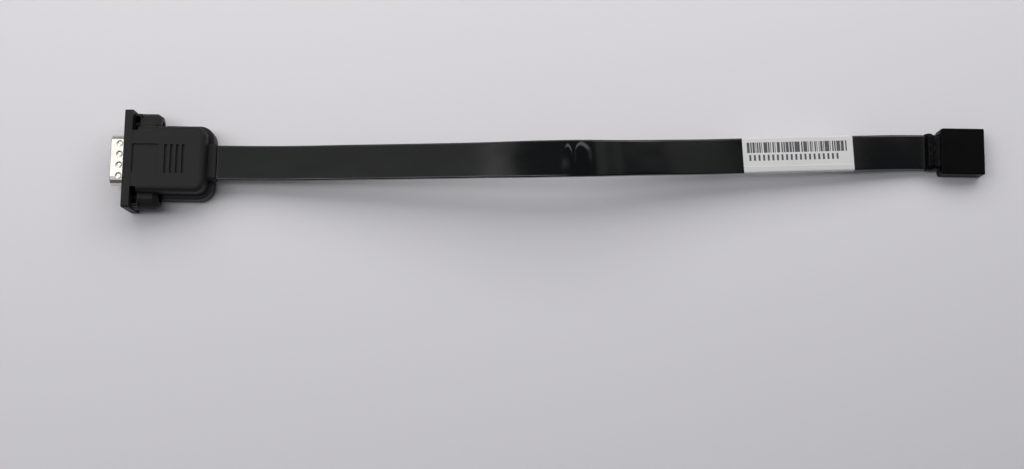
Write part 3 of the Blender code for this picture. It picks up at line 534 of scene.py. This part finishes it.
paper, place = new_finish("label_film", {"IOR": 1.45})
print_place = place.node(
    "ShaderNodeMapping",
    {"vector_type": "TEXTURE"},
    {"Vector": place, "Location": print_start, "Rotation": (0, 0, print_turn)},
)
print_along, print_across, _ = print_place.axes()
module = (print_along * (1 / bar_module)).maths("FLOOR")
chance = module.node("ShaderNodeTexWhiteNoise", {"noise_dimensions": "1D"}, {"W": module})
phase = module.maths("FLOORED_MODULO", len(bar_blanks))
first, second, third = [
    (chance > blank) * phase.within(step - 0.5, step + 0.5) for step, blank in enumerate(bar_blanks)
]
bars = first + second + third
bars = bars * print_along.within(bars_from, bars_to) * print_across.within(bars_low, bars_high)
marks = (print_along * (1 / mark_pitch)).maths("FRACT") > mark_blank
marks = marks * print_along.within(marks_from, marks_to) * print_across.within(marks_low, marks_high)
ink = 0.97 * (place.noise(2600, 2.0).ramp(0.2, 0.6) * 0.12 + 0.88)
printed = (bars + marks) * ink
# Painted shadow along the lap's edge, and a slightly greyer band past it.
lap = print_across.within(lap_line_low, lap_line_high) * lap_line_painted_shadow
lap = lap + (print_across < lap_line_low) * lapped_shade
sheen = place.noise(90, 2.0)
feed(
    paper,
    Base_Color=(printed + lap * (1 - printed)).mixed(sheen.mixed(paper_dull, paper_bright), ink_black),
    Roughness=sheen * 0.1 + 0.32,
    Normal=sheen.bump(0.03 * mm, 0.3),
)
label.data.materials.append(paper)

# Shrunk wrap: soft black tube shrunk over the end of the sleeve and the back of the header.
# Made from a box: long edges bevelled, ends opened, and rings resized to a thick band that closes
# down over the sleeve on one side and flares a little at the header. Its skin is creased.
wrap_size = Vector((4.8, 12.2, 4.8)) * mm
wrap_middle = Vector((133.55, 8.1, 3.3)) * mm
wrap_wall = 0.2 * mm
wrap_corner = 1.4 * mm
wrap_crease = 0.22 * mm
wrap_crease_size = 1.3 * mm
bpy.ops.mesh.primitive_cube_add(size=1, location=wrap_middle)
wrap = bpy.context.active_object
wrap.name = wrap.data.name = "shrunk_wrap"
wrap.scale = wrap_size
bpy.ops.object.transform_apply(location=True, rotation=False, scale=True)

same_direction = 0.999
same_place = 1e-6


def pick_edges(piece, wanted):
    """Selects the edges whose two ends pass the test, and nothing else."""
    bpy.ops.mesh.select_all(action="DESELECT")
    bpy.ops.object.mode_set(mode="OBJECT")
    places = [vert.co.copy() for vert in piece.data.vertices]
    for edge in piece.data.edges:
        edge.select = wanted(places[edge.vertices[0]], places[edge.vertices[1]])
    bpy.ops.object.mode_set(mode="EDIT")
    bpy.ops.mesh.select_mode(type="EDGE")


def runs_along(axis):
    """Test for edges that run along one axis."""
    return lambda here, there: abs((there - here).normalized()[axis]) > same_direction


def towards(side, reach):
    """Test for edges that lie wholly past a place, on the sleeve's (-1) or the header's (1) side."""
    limit = wrap_middle.x + reach * mm
    return lambda here, there: min(side * (here.x - limit), side * (there.x - limit)) > 0


bpy.ops.object.mode_set(mode="EDIT")
bpy.ops.mesh.select_mode(type="EDGE")
pick_edges(wrap, runs_along(0))
bpy.ops.mesh.bevel(offset=wrap_corner, segments=5, affect="EDGES")
for side in (-1, 1):
    end_x = wrap_middle.x + side * wrap_size.x / 2
    pick_edges(wrap, lambda here, there: max(abs(here.x - end_x), abs(there.x - end_x)) < same_place)
    bpy.ops.mesh.select_mode(type="FACE")
    bpy.ops.mesh.delete(type="ONLY_FACE")
for axis, cuts in ((0, 15), (1, 27), (2, 5)):
    pick_edges(wrap, runs_along(axis))
    bpy.ops.mesh.subdivide(number_cuts=cuts)
# Each ring: its side, its place in mm from the middle, and how much wider and taller it makes the rest.
for side, reach, wider, taller in (
    (-1, 0.1, 1.04, 1.05),
    (-1, -0.2, 1.03, 1.04),
    (-1, -1.6, 0.995, 0.9),
    (-1, -2.0, 0.995, 0.77),
    (-1, -2.3, 0.995, 0.78),
    (1, 1.3, 1.03, 1.06),
    (1, 1.9, 1.03, 1.07),
):
    pick_edges(wrap, towards(side, reach))
    bpy.ops.transform.resize(value=(1, wider, taller), center_override=wrap_middle)
bpy.ops.object.mode_set(mode="OBJECT")
creases = bpy.data.textures.new("wrap_creases", "CLOUDS")
creases.noise_scale = wrap_crease_size
puckered = wrap.modifiers.new("creases", "DISPLACE")
puckered.texture = creases
puckered.strength = wrap_crease
bpy.ops.object.modifier_apply(modifier="creases")
wrap.data.shade_smooth()
apply_wall(wrap, wrap_wall, inwards=True)
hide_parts("header_wrap")
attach(wrap, "root")

skin_black = (0.0008, 0.0009, 0.0009)
skin_worn = (0.0025, 0.0025, 0.0025)
skin, place = new_finish("shrunk_skin", {"IOR": 1.48, "Specular IOR Level": 0.09})
rub = place.noise(700, 3.0)
feed(
    skin,
    Base_Color=rub.mixed(skin_black, skin_worn),
    Roughness=rub * 0.15 + 0.28,
    Normal=rub.bump(0.03 * mm, 0.3),
)
wrap.data.materials.append(skin)

# Length of the cable's middle line, worked out here and not used.
sum((b - a).length for a, b in zip(cable_line, cable_line[1:]))

# Moulded hood: one black PVC moulding over the plug and the start of the cable.
# Its surface is finely spark-eroded, with faint cloudiness and a few specks of dust over it.
pvc_black = (0.0108, 0.0108, 0.011)
pvc_dusty = (0.021, 0.021, 0.021)


def show_as(finish, *nodes):
    """Gives CAD nodes one finish."""
    for node in nodes:
        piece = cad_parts[node]
        for slot in piece.material_slots:
            slot.material = finish


pvc, place = new_finish("hood_pvc", {"IOR": 1.48, "Specular IOR Level": 0.18})
grain = place.noise(3800, 3.0, 0.6)
cloud = place.noise(140, 3.0)
speck = place.noise(1500, 2.0, 0.4).ramp(0.76, 0.80)
feed(
    pvc,
    Base_Color=(cloud * 0.5 + speck * 0.4).mixed(pvc_black, pvc_dusty),
    Roughness=cloud * 0.12 + 0.42,
    Normal=grain.bump(0.03 * mm, 0.4),
)
show_as(pvc, "moulded_hood")

# Plug shells: front and rear halves of deep-drawn steel sheet, nickel-plated.
# The front one has pressed dimples that grip the socket, and the rear one sits in the hood.
nickel_dull = (0.60, 0.57, 0.52)
nickel_bright = (0.78, 0.76, 0.72)
steel, place = new_finish("nickel_plate", {"Metallic": 1.0})
drawn = place.stretched(0.12, 1, 1).noise(5200, 3.0)
stain = place.noise(260, 4.0, 0.65)
feed(
    steel,
    Base_Color=stain.mixed(nickel_dull, nickel_bright),
    Roughness=drawn * 0.12 + stain * 0.10 + 0.22,
    Normal=drawn.bump(0.008 * mm, 0.4),
)
show_as(steel, "front_shell", "rear_shell")

# Insulators: two blocks of glass-filled black plastic, injection moulded.
# They sit inside the shells and hold the pins between them.
filled_black = (0.016, 0.016, 0.017)
filled_grey = (0.03, 0.03, 0.031)
filled, place = new_finish("insulator_plastic", {"IOR": 1.5})
fibre = place.stretched(1, 1, 0.3).noise(3000, 3.0)
feed(
    filled,
    Base_Color=fibre.mixed(filled_black, filled_grey),
    Roughness=fibre * 0.2 + 0.4,
    Normal=fibre.bump(0.02 * mm, 0.3),
)
show_as(filled, "front_insulator", "rear_insulator")

# Pins: turned brass with a thin gold flash, nine in two rows.
# Each has a round tip at the front and a cup for its wire at the back.
gold_worn = (0.80, 0.58, 0.24)
gold_bright = (0.90, 0.72, 0.38)
gold, place = new_finish("gold_flash", {"Metallic": 1.0})
lathe = place.stretched(8, 1, 1).noise(900, 2.0)
wear = place.noise(1200, 3.0)
feed(
    gold,
    Base_Color=wear.mixed(gold_worn, gold_bright),
    Roughness=lathe * 0.12 + 0.16,
    Normal=lathe.bump(0.006 * mm, 0.5),
)
show_as(gold, *[f"contact_pin_{number}" for number in range(1, 10)])

# Nuts: blackened steel hexagons dropped into the slots behind the hood's plate.
# Each lies behind a hole of the plate and takes a screw from the panel the plug is fixed to.
steel_black = (0.035, 0.035, 0.038)
steel_rubbed = (0.10, 0.10, 0.105)
blackened, place = new_finish("blackened_steel", {"Metallic": 1.0})
mottle = place.noise(1400, 4.0, 0.6)
feed(
    blackened,
    Base_Color=mottle.mixed(steel_black, steel_rubbed),
    Roughness=mottle * 0.25 + 0.3,
)
show_as(blackened, "panel_nut_1", "panel_nut_2")

# Pre-mould: milky plastic shot over the solder cups before the hood is moulded over it.
# It keeps the wires apart and takes the cable's pull.
milk_dull = (0.64, 0.63, 0.57)
milk_bright = (0.74, 0.73, 0.68)
milky, place = new_finish("premould_plastic", {"IOR": 1.5, "Subsurface Weight": 0.1})
flow = place.stretched(0.4, 1, 1).noise(500, 2.0)
feed(
    milky,
    Base_Color=flow.mixed(milk_dull, milk_bright),
    Roughness=flow * 0.2 + 0.4,
)
show_as(milky, "inner_mould")

# Short wires: the ribbon's nine conductors, split apart at both ends in their own grey insulation.
# At the plug they are soldered into the pins' cups, and at the header crimped into the contacts.
show_as(insulation, *[f"plug_wire_{number}" for number in range(1, 10)])
show_as(insulation, *[f"socket_wire_{number}" for number in range(1, 10)])

# Header housing: a black plastic block, injection moulded, with a cavity for each contact.
# One cavity is blocked by a small plug of the same plastic.
housing_dull = (0.0010, 0.0011, 0.0011)
housing_pale = (0.0022, 0.0023, 0.0023)
housing_black, place = new_finish("housing_plastic", {"IOR": 1.45, "Specular IOR Level": 0.07})
grain = place.noise(3400, 3.0, 0.6)
cloud = place.noise(180, 3.0)
feed(
    housing_black,
    Base_Color=cloud.mixed(housing_dull, housing_pale),
    Roughness=cloud * 0.12 + 0.30,
    Normal=grain.bump(0.02 * mm, 0.3),
)
show_as(housing_black, "header_housing", "key_plug")

# Socket contacts: folded and crimped from tin-plated copper strip.
# Each is pushed into its cavity from behind: its folded front takes a pin, its barrel holds a wire.
tin_dull = (0.55, 0.53, 0.49)
tin_bright = (0.70, 0.68, 0.64)
tin, place = new_finish("tin_plate", {"Metallic": 1.0})
dull = place.noise(1600, 3.0)
feed(
    tin,
    Base_Color=dull.mixed(tin_dull, tin_bright),
    Roughness=dull * 0.2 + 0.25,
)
show_as(tin, *[f"socket_contact_{number}" for number in range(1, 10)])
